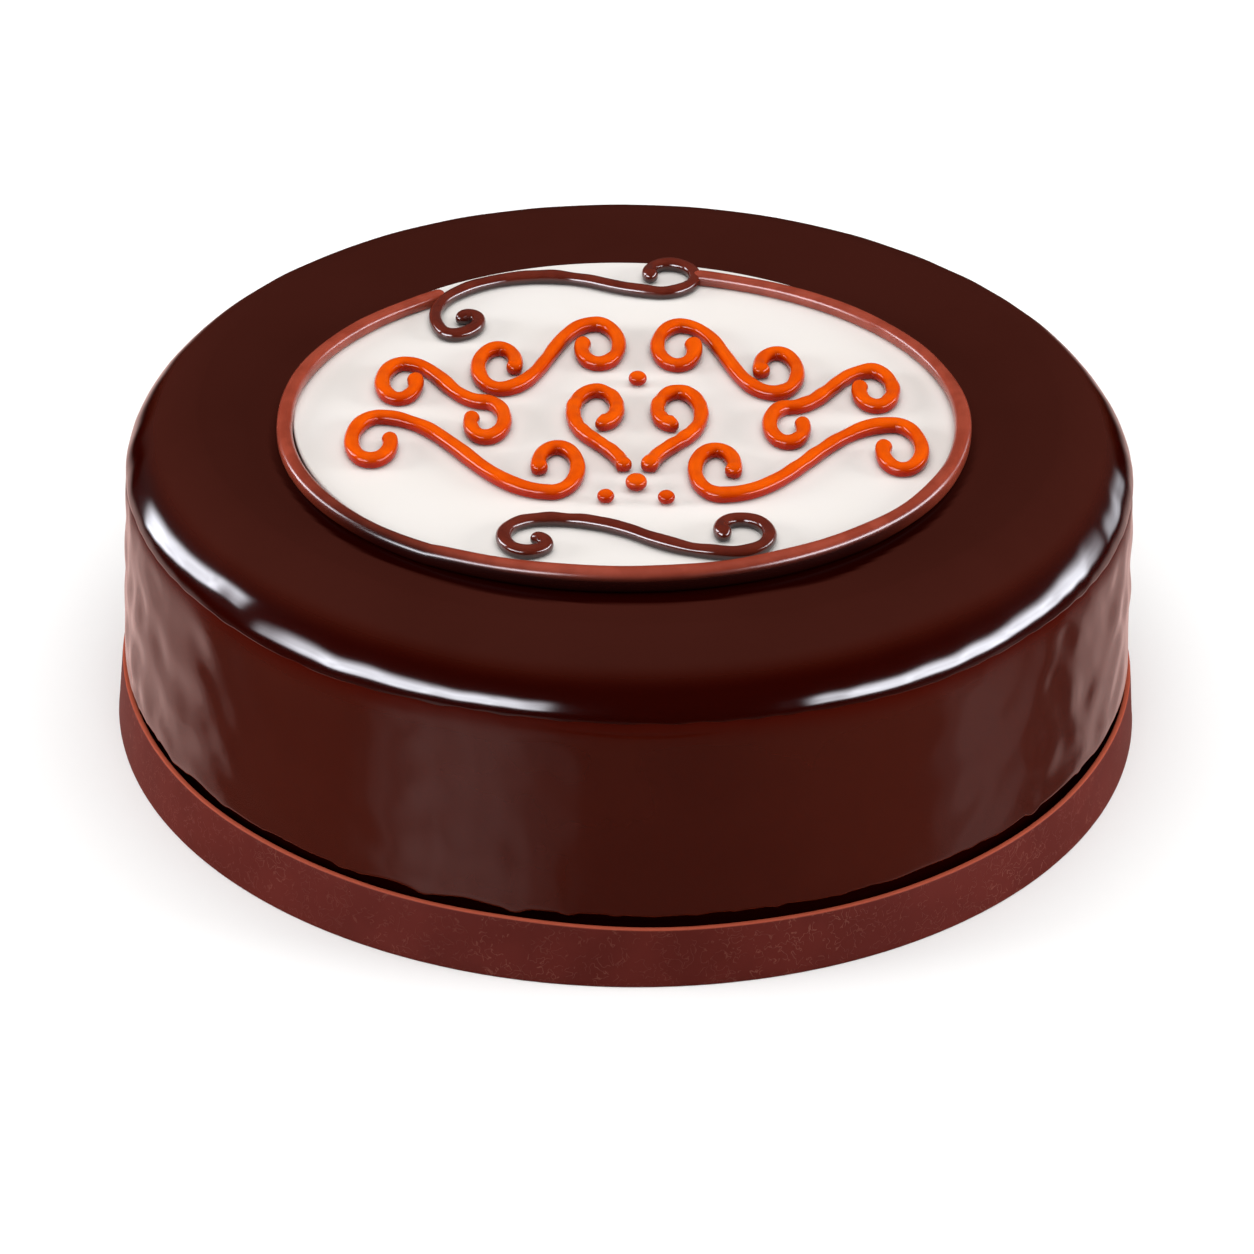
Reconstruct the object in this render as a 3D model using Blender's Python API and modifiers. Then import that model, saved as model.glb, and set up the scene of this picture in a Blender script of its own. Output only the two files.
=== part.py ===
import math

import bmesh
import bpy
from mathutils import Matrix, Vector

# A whole glazed chocolate torte. The origin is the middle of its underside, +Z is up and
# -Y is the front. Lengths are metres, angles are degrees.

GAP = 0.0003                 # clearance kept between pieces that touch or rest on each other

# Cake body: a turned solid with a soft shoulder and a side that widens a little downwards.
BODY_RADIUS = 0.115          # where the shoulder becomes the side
BODY_HEIGHT = 0.0783
SHOULDER_WIDTH = 0.01725
SHOULDER_DROP = 0.0148
SHOULDER_POWER = 1.6         # 2 is a quarter ellipse, 1 is a straight slope
SHOULDER_STEPS = 8
FOOT_RADIUS = 0.1172         # glaze just above its lower edge
LIP_HEIGHT = 0.0178          # underside of the glaze's lower edge
LIP_ROUND = 0.0016           # the edge curls under with this radius
GROOVE_RADIUS = 0.1145       # shadow groove between the glaze's edge and the band
GROOVE_FLOOR = 0.0128
BASE_HEIGHT = 0.0115         # below this the base fills the band
BODY_SIDES = 64

# Band: a thin strip of chocolate wrapped round the foot.
BAND_HEIGHT = 0.015
BAND_TOP_RADIUS = 0.1179
BAND_FOOT_RADIUS = 0.1194
BAND_THICKNESS = 0.0013

# Plaque: a thin round disc, laid a little forward of the middle of the top.
PLAQUE_RADIUS = 0.075
PLAQUE_CENTRE = (-0.001, -0.0093)
PLAQUE_THICKNESS = 0.0012
PLAQUE_EDGE = 0.0004
PLAQUE_SIDES = 48

# Border: one piped bead round the plaque, an open oval that stops at the top scroll.
BORDER_CENTRE = (-0.0014, -0.0141)
BORDER_HALF_WIDTH = 0.0761
BORDER_HALF_DEPTH = 0.0705
BORDER_TURN = 6.2
BORDER_RADIUS = 0.0020
BORDER_BACK_TAPER = 0.09     # share of the radius lost from front to middle, and again to the back
BORDER_FROM = -237.4
BORDER_TO = 69.2
BORDER_STEP = 5.2

# Brown scrolls: each is a chain of arcs (radius, turn), a negative turn bending right.
SCROLL_RADIUS = 0.0016
TOP_SCROLL_START = (-0.0395, 0.0307, 109.5)
TOP_SCROLL_ARCS = [
    (0.0019, -190), (0.0069, -78), (0.0030, -82), (0.0167, -72), (0.0289, -74),
    (0.0425, 18), (0.0083, 98), (0.0065, 87), (0.0046, 140),
]
BOTTOM_SCROLL_START = (-0.0207, -0.0699, 41.5)
BOTTOM_SCROLL_ARCS = [
    (0.0019, -165), (0.0045, -106), (0.0072, -101), (0.0123, -29), (0.0336, -37),
    (0.0341, 34), (0.0080, 105), (0.0059, 88), (0.0042, 135),
]
ARC_CHORD = 0.0019           # longest straight piece along a tight arc
ARC_ANGLE = 16.0             # largest bend between two straight pieces

# Orange flourishes: mirrored pairs in two rows, the lower one wider. They are drawn as
# (x, y) from their own middle and then stretched in Y, so that they look round from in front.
PIPING_RADIUS = 0.00175
PIPING_MIDDLE = (0.0015, -0.009)
PIPING_STRETCH = 1.9
VOLUTE_INNER = 0.0030        # radius at the inner tip of a volute
VOLUTE_TURN = 300.0
VOLUTE_STEPS = 15
HEART_TURN = 280.0
STEM_STEPS = 8
STEM_PULL = 0.4              # handle length of a stem, as a share of its span
PEARL_SQUASH = 0.8

# Round tips of a bead: shares of its radius at which its last two rings stand from the end.
TIP_FIRST = 0.08
TIP_SECOND = 0.4

# Bead roundness: 2 gives twelve sides, 1 gives eight.
BROWN_ROUNDNESS = 2
ORANGE_ROUNDNESS = 1


def removeEverything():
    for item in list(bpy.data.objects):
        bpy.data.objects.remove(item, do_unlink=True)


def newCollection(name):
    collection = bpy.data.collections.new(name)
    bpy.context.scene.collection.children.link(collection)
    return collection


def newMaterial(name, colour, roughness):
    material = bpy.data.materials.new(name)
    material.use_nodes = True
    shader = material.node_tree.nodes["Principled BSDF"]
    shader.inputs["Base Color"].default_value = (*colour, 1.0)
    shader.inputs["Roughness"].default_value = roughness
    shader.inputs["Metallic"].default_value = 0.0
    return material


def addObject(name, data, material, collection):
    data.materials.append(material)
    part = bpy.data.objects.new(name, data)
    collection.objects.link(part)
    return part


def turnedPart(name, profile, closed, sides, material, collection):
    """Turn a profile of (radius, height) points, listed down its outer side, about Z."""
    mesh = bpy.data.meshes.new(name)
    shape = bmesh.new()
    corners = [shape.verts.new((radius, 0.0, height)) for radius, height in profile]
    for first, second in zip(corners, corners[1:]):
        shape.edges.new((first, second))
    if closed:
        shape.edges.new((corners[-1], corners[0]))
    shape.to_mesh(mesh)
    shape.free()
    part = addObject(name, mesh, material, collection)
    screw = part.modifiers.new("turn", "SCREW")
    screw.steps = sides
    screw.render_steps = sides
    screw.use_merge_vertices = True
    screw.merge_threshold = 0.00001
    screw.use_smooth_shade = True
    return part


def shoulderProfile():
    """Points from the flat top round to the side, on a superellipse."""
    points = []
    for step in range(SHOULDER_STEPS + 1):
        angle = math.radians(90.0 * step / SHOULDER_STEPS)
        out = math.sin(angle) ** (2.0 / SHOULDER_POWER)
        up = math.cos(angle) ** (2.0 / SHOULDER_POWER)
        radius = BODY_RADIUS - SHOULDER_WIDTH + SHOULDER_WIDTH * out
        height = BODY_HEIGHT - SHOULDER_DROP + SHOULDER_DROP * up
        points.append((radius, height))
    return points


def lipProfile():
    """Points round the lower edge of the glaze, a quarter circle curling under."""
    points = []
    for angle in (0.0, 45.0, 90.0):
        inwards = LIP_ROUND * (1.0 - math.cos(math.radians(angle)))
        down = LIP_ROUND * math.sin(math.radians(angle))
        points.append((FOOT_RADIUS - inwards, LIP_HEIGHT + LIP_ROUND - down))
    return points


def cakeBody(material, collection):
    insideTop = BAND_TOP_RADIUS - BAND_THICKNESS - GAP
    insideFoot = BAND_FOOT_RADIUS - BAND_THICKNESS - GAP
    profile = [(0.0, BODY_HEIGHT)]
    profile += shoulderProfile()
    profile += lipProfile()
    profile += [(GROOVE_RADIUS, LIP_HEIGHT), (GROOVE_RADIUS, GROOVE_FLOOR)]
    profile += [(insideTop, BASE_HEIGHT), (insideFoot, 0.0), (0.0, 0.0)]
    return turnedPart("cake_body", profile, False, BODY_SIDES, material, collection)


def baseBand(material, collection):
    profile = [
        (BAND_TOP_RADIUS - BAND_THICKNESS, BAND_HEIGHT),
        (BAND_TOP_RADIUS, BAND_HEIGHT),
        (BAND_FOOT_RADIUS, 0.0),
        (BAND_FOOT_RADIUS - BAND_THICKNESS, 0.0),
    ]
    return turnedPart("base_band", profile, True, BODY_SIDES, material, collection)


def plaqueTop():
    return BODY_HEIGHT + GAP + PLAQUE_THICKNESS


def plaque(material, collection):
    profile = [
        (0.0, PLAQUE_THICKNESS),
        (PLAQUE_RADIUS - PLAQUE_EDGE, PLAQUE_THICKNESS),
        (PLAQUE_RADIUS, PLAQUE_THICKNESS - PLAQUE_EDGE),
        (PLAQUE_RADIUS, 0.0),
        (0.0, 0.0),
    ]
    part = turnedPart("plaque", profile, False, PLAQUE_SIDES, material, collection)
    part.location = (*PLAQUE_CENTRE, BODY_HEIGHT + GAP)
    return part


def tipFactor(distance, radius):
    """Share of the bead's radius left at a distance from its end, so that the end is round."""
    if distance >= radius:
        return 1.0
    return math.sqrt(1.0 - (1.0 - distance / radius) ** 2)


def withRoundTips(points, radius):
    """Cut both ends back and add close points there, so that a bead can end in a half ball."""
    start, end = points[0], points[-1]
    intoStart = (points[1] - start).normalized()
    intoEnd = (points[-2] - end).normalized()
    head = [start + intoStart * radius * share for share in (TIP_FIRST, TIP_SECOND)]
    tail = [end + intoEnd * radius * share for share in (TIP_SECOND, TIP_FIRST)]
    return head + points[1:-1] + tail


def lengthsAlong(points):
    travelled = [0.0]
    for first, second in zip(points, points[1:]):
        travelled.append(travelled[-1] + (second - first).length)
    return travelled


def bead(name, points, factors, radius, roundness, material, collection):
    """A piped bead: a round tube along points, swelling by factors and closed by round tips."""
    curve = bpy.data.curves.new(name, "CURVE")
    curve.dimensions = "3D"
    curve.twist_mode = "Z_UP"
    curve.bevel_depth = radius
    curve.bevel_resolution = roundness
    curve.use_fill_caps = True
    spline = curve.splines.new("POLY")
    spline.points.add(len(points) - 1)
    travelled = lengthsAlong(points)
    for knot, place, factor, done in zip(spline.points, points, factors, travelled):
        toTip = min(done, travelled[-1] - done) + TIP_FIRST * radius
        knot.co = (*place, 1.0)
        knot.radius = factor * tipFactor(toTip, radius)
    return addObject(name, curve, material, collection)


def evenBead(name, outline, radius, roundness, material, collection):
    """A bead of one thickness on the plaque, along an outline of (x, y) points."""
    height = plaqueTop() + GAP + radius
    points = [Vector((x, y, height)) for x, y in outline]
    points = withRoundTips(points, radius)
    return bead(name, points, [1.0] * len(points), radius, roundness, material, collection)


def borderPoint(angle):
    """Point (x, y) of the border's oval at an angle from its own long axis."""
    turn = math.radians(BORDER_TURN)
    along = BORDER_HALF_WIDTH * math.cos(math.radians(angle))
    across = BORDER_HALF_DEPTH * math.sin(math.radians(angle))
    x = BORDER_CENTRE[0] + along * math.cos(turn) - across * math.sin(turn)
    y = BORDER_CENTRE[1] + along * math.sin(turn) + across * math.cos(turn)
    return x, y


def borderHeight(x, y, radius):
    """Height of the bead's middle: on the glaze outside the plaque, climbing over its edge."""
    beyond = math.hypot(x - PLAQUE_CENTRE[0], y - PLAQUE_CENTRE[1]) - PLAQUE_RADIUS
    onGlaze = BODY_HEIGHT + GAP + radius
    onPlaque = plaqueTop() + GAP + radius
    if beyond <= 0.0:
        return onPlaque
    if beyond >= radius:
        return onGlaze
    overEdge = plaqueTop() + GAP + math.sqrt(radius ** 2 - beyond ** 2)
    return max(onGlaze, overEdge)


def borderBead(material, collection):
    count = round((BORDER_TO - BORDER_FROM) / BORDER_STEP)
    points = []
    factors = []
    for step in range(count + 1):
        angle = BORDER_FROM + (BORDER_TO - BORDER_FROM) * step / count
        factor = 1.0 - BORDER_BACK_TAPER * (1.0 + math.sin(math.radians(angle)))
        x, y = borderPoint(angle)
        points.append(Vector((x, y, borderHeight(x, y, BORDER_RADIUS))))
        factors.append(factor)
    points = withRoundTips(points, BORDER_RADIUS)
    factors = [factors[0]] + factors + [factors[-1]]
    return bead(
        "border_bead", points, factors, BORDER_RADIUS, BROWN_ROUNDNESS, material, collection)


def arcChain(start, arcs):
    """Outline of arcs joined end to end without a corner, from (x, y, heading)."""
    x, y, heading = start
    heading = math.radians(heading)
    outline = [(x, y)]
    for radius, turn in arcs:
        length = radius * math.radians(abs(turn))
        pieces = max(1, math.ceil(abs(turn) / max(ARC_ANGLE, math.degrees(ARC_CHORD / radius))))
        bend = math.radians(turn) / pieces
        chord = 2.0 * radius * math.sin(abs(bend) / 2.0)
        for _ in range(pieces):
            heading += bend / 2.0
            x += chord * math.cos(heading)
            y += chord * math.sin(heading)
            heading += bend / 2.0
            outline.append((x, y))
    return outline


def volute(centre, outer, leave, turn, way):
    """Spiral outline from its inner tip out to the angle where it leaves; way 1 is leftwards."""
    outline = []
    for step in range(VOLUTE_STEPS + 1):
        share = step / VOLUTE_STEPS
        angle = math.radians(leave - way * turn * (1.0 - share))
        radius = VOLUTE_INNER + (outer - VOLUTE_INNER) * share
        outline.append((centre[0] + radius * math.cos(angle), centre[1] + radius * math.sin(angle)))
    return outline


def headingAt(angle, way):
    turned = math.radians(angle + 90.0 * way)
    return Vector((math.cos(turned), math.sin(turned)))


def stemBetween(begin, leaving, end, arriving):
    """Inner points of a smooth stem between two points, given the unit headings at its ends."""
    pull = (end - begin).length * STEM_PULL
    outline = []
    for step in range(1, STEM_STEPS + 1):
        t = step / (STEM_STEPS + 1)
        place = begin * (1 - t) ** 3 + (begin + leaving * pull) * 3 * t * (1 - t) ** 2
        place += (end - arriving * pull) * 3 * t ** 2 * (1 - t) + end * t ** 3
        outline.append(tuple(place))
    return outline


def doubleScroll(first, second):
    """Two volutes joined by a stem. Each end is (x, y, outer radius, joining angle, way)."""
    opening = volute(first[:2], first[2], first[3], VOLUTE_TURN, first[4])
    closing = volute(second[:2], second[2], second[3], VOLUTE_TURN, -second[4])[::-1]
    stem = stemBetween(
        Vector(opening[-1]), headingAt(first[3], first[4]),
        Vector(closing[0]), headingAt(second[3], second[4]))
    return opening + stem + closing


def curlWithTail(curl, turn, tail):
    """One volute (x, y, outer radius, leaving angle, way) and a tail to (x, y, heading)."""
    opening = volute(curl[:2], curl[2], curl[3], turn, curl[4])
    end = Vector(tail[:2])
    arriving = headingAt(tail[2], 0.0)
    stem = stemBetween(Vector(opening[-1]), headingAt(curl[3], curl[4]), end, arriving)
    return opening + stem + [tuple(end)]


def flourishOutlines():
    """Right-hand outlines by name, as drawn."""
    return {
        "upper_scroll": doubleScroll(
            (0.0096, 0.0146, 0.0060, 90, -1), (0.0314, 0.0096, 0.0060, -90, 1)),
        "upper_heart": curlWithTail(
            (0.0086, -0.0014, 0.0058, 0, -1), HEART_TURN, (0.0024, -0.0152, -115)),
        "lower_scroll": doubleScroll(
            (0.0182, -0.0148, 0.0062, -90, 1), (0.0580, -0.0100, 0.0062, 90, -1)),
        "lower_curl": doubleScroll(
            (0.0340, -0.0046, 0.0048, 90, -1), (0.0536, 0.0046, 0.0050, 90, -1)),
    }


def pearlPlaces():
    """Orange pearls by name, as drawn: (x, y, radius)."""
    return {
        "pearl_top": (0.0, 0.0068, 0.0021),
        "pearl_foot": (0.0, -0.0186, 0.0024),
        "pearl_left": (-0.0066, -0.0216, 0.0019),
        "pearl_right": (0.0066, -0.0216, 0.0019),
    }


def onPlaque(x, y, hand):
    """A drawn point's place; hand is 1 for the right-hand piece and -1 for its mirror."""
    return PIPING_MIDDLE[0] + hand * x, PIPING_MIDDLE[1] + PIPING_STRETCH * y


def orangeFlourishes(material, collection):
    for name, outline in flourishOutlines().items():
        for side, hand in (("_right", 1.0), ("_left", -1.0)):
            placed = [onPlaque(x, y, hand) for x, y in outline]
            evenBead(name + side, placed, PIPING_RADIUS, ORANGE_ROUNDNESS, material, collection)


def orangePearls(material, collection):
    for name, (drawnX, drawnY, radius) in pearlPlaces().items():
        x, y = onPlaque(drawnX, drawnY, 1.0)
        mesh = bpy.data.meshes.new(name)
        shape = bmesh.new()
        bmesh.ops.create_uvsphere(
            shape, u_segments=10, v_segments=6, radius=radius,
            matrix=Matrix.Diagonal((1.0, 1.0, PEARL_SQUASH, 1.0)))
        shape.to_mesh(mesh)
        shape.free()
        mesh.shade_smooth()
        part = addObject(name, mesh, material, collection)
        part.location = (x, y, plaqueTop() + GAP + radius * PEARL_SQUASH)


def build():
    removeEverything()
    collection = newCollection("sachertorte_cake")
    glaze = newMaterial("chocolate_glaze", (0.050, 0.012, 0.008), 0.12)
    band = newMaterial("chocolate_band", (0.085, 0.020, 0.013), 0.60)
    sugar = newMaterial("white_plaque", (0.900, 0.860, 0.800), 0.50)
    milk = newMaterial("brown_piping", (0.130, 0.032, 0.018), 0.22)
    orange = newMaterial("orange_piping", (0.800, 0.120, 0.010), 0.20)
    cakeBody(glaze, collection)
    baseBand(band, collection)
    plaque(sugar, collection)
    borderBead(milk, collection)
    topOutline = arcChain(TOP_SCROLL_START, TOP_SCROLL_ARCS)
    evenBead("top_scroll", topOutline, SCROLL_RADIUS, BROWN_ROUNDNESS, milk, collection)
    bottomOutline = arcChain(BOTTOM_SCROLL_START, BOTTOM_SCROLL_ARCS)
    evenBead("bottom_scroll", bottomOutline, SCROLL_RADIUS, BROWN_ROUNDNESS, milk, collection)
    orangeFlourishes(orange, collection)
    orangePearls(orange, collection)


build()
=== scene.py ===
import bpy
import numpy as np
from mathutils import Matrix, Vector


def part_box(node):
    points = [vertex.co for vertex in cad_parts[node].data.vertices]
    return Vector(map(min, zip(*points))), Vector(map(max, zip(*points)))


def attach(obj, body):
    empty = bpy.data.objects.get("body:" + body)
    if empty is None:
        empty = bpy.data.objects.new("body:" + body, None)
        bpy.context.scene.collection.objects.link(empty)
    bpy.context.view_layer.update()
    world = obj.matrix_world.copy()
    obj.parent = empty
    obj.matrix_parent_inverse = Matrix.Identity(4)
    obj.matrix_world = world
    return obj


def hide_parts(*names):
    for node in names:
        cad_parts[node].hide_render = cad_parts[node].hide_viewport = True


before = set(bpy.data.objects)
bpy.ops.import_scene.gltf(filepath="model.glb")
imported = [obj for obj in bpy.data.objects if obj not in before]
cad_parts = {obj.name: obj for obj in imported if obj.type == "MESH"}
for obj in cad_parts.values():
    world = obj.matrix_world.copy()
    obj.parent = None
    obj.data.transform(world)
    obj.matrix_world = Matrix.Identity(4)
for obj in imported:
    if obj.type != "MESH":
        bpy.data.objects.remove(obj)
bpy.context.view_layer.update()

# A whole glazed chocolate torte with a piped sugar plaque. Lengths are metres, angles are
# degrees, the origin is the middle of the underside, +Z is up and -Y is the front.

bodyLow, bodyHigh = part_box("cake_body")
bandLow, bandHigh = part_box("base_band")
plaqueLow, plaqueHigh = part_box("plaque")
print("frame loaded:", len(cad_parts), "nodes")

turn = 2.0 * np.pi


# ---- shared shape helpers

# unevenness(a) = sum of s_k cos(k a + p_k) over whole k, brought to a spread of about 1;
# s_k is random and falls as 1 / k^fall, p_k is a random phase
def wavesRound(around, seed, lowest, highest, fall):
    chance = np.random.default_rng(seed)
    counts = np.arange(lowest, highest + 1)
    sizes = chance.uniform(0.4, 1.0, counts.size) / counts ** fall
    phases = chance.uniform(0.0, turn, counts.size)
    waves = sizes[:, None] * np.cos(np.outer(counts, around) + phases[:, None])
    return waves.sum(axis=0) / np.sqrt((sizes ** 2).sum() / 2.0)


# ripple(a, h) = sum of s_k cos(k a + q_k h + p_k): whole waves round, slanted by a random q_k
def ripplesOn(around, heights, seed, lowest, highest, fall, slant):
    chance = np.random.default_rng(seed)
    counts = np.arange(lowest, highest + 1)
    sizes = chance.uniform(0.3, 1.0, counts.size) / counts ** fall
    phases = chance.uniform(0.0, turn, counts.size)
    slants = chance.normal(0.0, slant, counts.size)
    angle = np.outer(counts, around)[:, None, :] + np.multiply.outer(slants, heights)
    waves = sizes[:, None, None] * np.cos(angle + phases[:, None, None])
    return waves.sum(axis=0) / np.sqrt((sizes ** 2).sum() / 2.0)


# step(x) = 3t^2 - 2t^3 with t = (x - low) / (high - low) held to 0..1
def smoothStep(x, low, high):
    t = np.clip((x - low) / (high - low), 0.0, 1.0)
    return t * t * (3.0 - 2.0 * t)


# A closed skin over grid[row, column]: columns run round and meet, and each end row closes
# in one pole point. Rows going away and columns turning left make the faces look outwards.
def skinOver(name, grid, firstPole, lastPole, material):
    rows, columns = grid.shape[:2]
    here = np.arange(rows * columns).reshape(rows, columns)
    beside = np.roll(here, -1, axis=1)
    first = rows * columns
    quads = np.stack([here[:-1], here[1:], beside[1:], beside[:-1]], axis=-1).reshape(-1, 4)
    opening = np.stack([np.full(columns, first), here[0], beside[0]], axis=-1)
    closing = np.stack([np.full(columns, first + 1), beside[-1], here[-1]], axis=-1)
    points = np.concatenate([grid.reshape(-1, 3), [firstPole], [lastPole]])
    mesh = bpy.data.meshes.new(name)
    mesh.from_pydata(points.tolist(), [], quads.tolist() + opening.tolist() + closing.tolist())
    mesh.shade_smooth()
    mesh.materials.append(material)
    piece = bpy.data.objects.new(name, mesh)
    bpy.context.scene.collection.objects.link(piece)
    return piece


def storeOn(mesh, name, values):
    stored = mesh.attributes.new(name, "FLOAT", "POINT")
    stored.data.foreach_set("value", values.astype(np.float32))


def placeFor(piece, node):
    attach(piece, "root")
    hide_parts(node)
    return piece


# ---- shared material helpers

def addNode(tree, kind, **settings):
    node = tree.nodes.new(kind)
    for key, value in settings.items():
        setattr(node, key, value)
    return node


def feed(tree, node, **values):
    for key, value in values.items():
        socket = node.inputs[key.replace("_", " ")]
        if isinstance(value, bpy.types.NodeSocket):
            tree.links.new(value, socket)
        else:
            socket.default_value = value
    return node


def mathNode(tree, operation, first, second=0.0, third=0.0):
    node = addNode(tree, "ShaderNodeMath", operation=operation)
    for socket, value in zip(node.inputs, (first, second, third)):
        if isinstance(value, bpy.types.NodeSocket):
            tree.links.new(value, socket)
        else:
            socket.default_value = value
    return node.outputs[0]


def mixColour(tree, factor, first, second, blend="MIX"):
    node = addNode(tree, "ShaderNodeMix", data_type="RGBA", blend_type=blend)
    for socket, value in zip((node.inputs[0], node.inputs[6], node.inputs[7]), (factor, first, second)):
        if isinstance(value, bpy.types.NodeSocket):
            tree.links.new(value, socket)
        elif isinstance(value, tuple):
            socket.default_value = (*value, 1.0)
        else:
            socket.default_value = value
    return node.outputs[2]


# smooth step of a value between two limits, falling where low is above high
def smoothNode(tree, value, low, high):
    node = addNode(tree, "ShaderNodeMapRange", interpolation_type="SMOOTHSTEP")
    feed(tree, node, Value=value)
    node.inputs["From Min"].default_value = low
    node.inputs["From Max"].default_value = high
    return node.outputs[0]


def newSocket(group, name, kind, way="INPUT", value=None):
    socket = group.interface.new_socket(name, in_out=way, socket_type="NodeSocket" + kind)
    if value is not None:
        socket.default_value = value
    return socket


# mask = smooth step of fractal noise between Low and High
def mottleGroup():
    group = bpy.data.node_groups.new("softMottle", "ShaderNodeTree")
    newSocket(group, "Vector", "Vector")
    newSocket(group, "Scale", "Float", value=50.0)
    newSocket(group, "Low", "Float", value=0.4)
    newSocket(group, "High", "Float", value=0.6)
    newSocket(group, "Mask", "Float", way="OUTPUT")
    inside = addNode(group, "NodeGroupInput")
    outside = addNode(group, "NodeGroupOutput")
    noise = addNode(group, "ShaderNodeTexNoise")
    feed(group, noise, Vector=inside.outputs["Vector"], Scale=inside.outputs["Scale"], Detail=3.0)
    ramp = addNode(group, "ShaderNodeMapRange", interpolation_type="SMOOTHSTEP")
    feed(group, ramp, Value=noise.outputs[0])
    group.links.new(inside.outputs["Low"], ramp.inputs["From Min"])
    group.links.new(inside.outputs["High"], ramp.inputs["From Max"])
    group.links.new(ramp.outputs[0], outside.inputs["Mask"])
    return group


# squiggle = 1 where the noise lies within Width of 0.5: thin worm-like lines, kept in patches
def squiggleGroup():
    group = bpy.data.node_groups.new("fineSquiggle", "ShaderNodeTree")
    newSocket(group, "Vector", "Vector")
    newSocket(group, "Scale", "Float", value=300.0)
    newSocket(group, "Width", "Float", value=0.02)
    newSocket(group, "Keep", "Float", value=0.5)
    newSocket(group, "Line", "Float", way="OUTPUT")
    inside = addNode(group, "NodeGroupInput")
    outside = addNode(group, "NodeGroupOutput")
    noise = addNode(group, "ShaderNodeTexNoise")
    feed(group, noise, Vector=inside.outputs["Vector"], Scale=inside.outputs["Scale"],
         Detail=1.0, Distortion=0.6)
    away = mathNode(group, "ABSOLUTE", mathNode(group, "SUBTRACT", noise.outputs[0], 0.5))
    ramp = addNode(group, "ShaderNodeMapRange", interpolation_type="SMOOTHSTEP")
    feed(group, ramp, Value=away, To_Min=1.0, To_Max=0.0)
    group.links.new(inside.outputs["Width"], ramp.inputs["From Max"])
    patches = addNode(group, "ShaderNodeTexNoise")
    feed(group, patches, Vector=inside.outputs["Vector"], Detail=1.0,
         Scale=mathNode(group, "MULTIPLY", inside.outputs["Scale"], 0.6))
    kept = mathNode(group, "GREATER_THAN", patches.outputs[0], inside.outputs["Keep"])
    group.links.new(mathNode(group, "MULTIPLY", ramp.outputs[0], kept), outside.inputs["Line"])
    return group


# mask = smooth step down from Clear to Full in height times one from Back to Front in Y
def footShadeGroup():
    group = bpy.data.node_groups.new("footShade", "ShaderNodeTree")
    newSocket(group, "Vector", "Vector")
    for name in ("Clear", "Full", "Back", "Front"):
        newSocket(group, name, "Float")
    newSocket(group, "Mask", "Float", way="OUTPUT")
    inside = addNode(group, "NodeGroupInput")
    outside = addNode(group, "NodeGroupOutput")
    parts = addNode(group, "ShaderNodeSeparateXYZ")
    group.links.new(inside.outputs["Vector"], parts.inputs[0])
    shares = []
    for value, low, high in ((parts.outputs[2], "Clear", "Full"), (parts.outputs[1], "Back", "Front")):
        ramp = addNode(group, "ShaderNodeMapRange", interpolation_type="SMOOTHSTEP")
        feed(group, ramp, Value=value)
        group.links.new(inside.outputs[low], ramp.inputs["From Min"])
        group.links.new(inside.outputs[high], ramp.inputs["From Max"])
        shares.append(ramp.outputs[0])
    group.links.new(mathNode(group, "MULTIPLY", *shares), outside.inputs["Mask"])
    return group


softMottle = mottleGroup()
fineSquiggle = squiggleGroup()
footShade = footShadeGroup()


def useMottle(tree, place, scale, low, high):
    node = addNode(tree, "ShaderNodeGroup", node_tree=softMottle)
    feed(tree, node, Vector=place, Scale=scale, Low=low, High=high)
    return node.outputs["Mask"]


def useSquiggle(tree, place, scale, width, keep):
    node = addNode(tree, "ShaderNodeGroup", node_tree=fineSquiggle)
    feed(tree, node, Vector=place, Scale=scale, Width=width, Keep=keep)
    return node.outputs["Line"]


def useFootShade(tree, place, heights, ways):
    node = addNode(tree, "ShaderNodeGroup", node_tree=footShade)
    feed(tree, node, Vector=place, Full=bodyHigh.z + heights[0], Clear=bodyHigh.z + heights[1],
         Back=ways[0], Front=ways[1])
    return node.outputs["Mask"]


def startMaterial(name, **values):
    material = bpy.data.materials.new(name)
    material.use_nodes = True
    tree = material.node_tree
    shader = tree.nodes["Principled BSDF"]
    feed(tree, shader, **values)
    place = addNode(tree, "ShaderNodeTexCoord").outputs["Object"]
    return material, tree, shader, place


def attributeOf(tree, name):
    return addNode(tree, "ShaderNodeAttribute", attribute_name=name).outputs["Fac"]


def bumpInto(tree, shader, height, strength, distance):
    bump = addNode(tree, "ShaderNodeBump")
    feed(tree, bump, Height=height, Strength=strength, Distance=distance)
    tree.links.new(bump.outputs[0], shader.inputs["Normal"])


# ---- glaze

glazeLook = {
    "colour": (0.0405, 0.0044, 0.0016),
    "deepColour": (0.0360, 0.0034, 0.0011),
    # painted sheen: the flat top's colours carry a grey sheen in place of its gloss
    "topColourWithPaintedSheen": (0.0370, 0.0075, 0.0050),
    "deepTopColourWithPaintedSheen": (0.0350, 0.0070, 0.0046),
    # painted shade: the shoulder round the flat top is darker
    "paintedRimShadingColour": (0.016, 0.0006, 0.0001),
    "shadeColour": (0.009, 0.0003, 0.0001),
    "dullGloss": 0.04,           # gloss left on the flat top
    "ledgeColour": (0.042, 0.0030, 0.0012),
    "ledgeGloss": 0.95,          # gloss lost just under the crease
    "roughness": 0.10,
    "cloudScale": 28.0,
}
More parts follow.
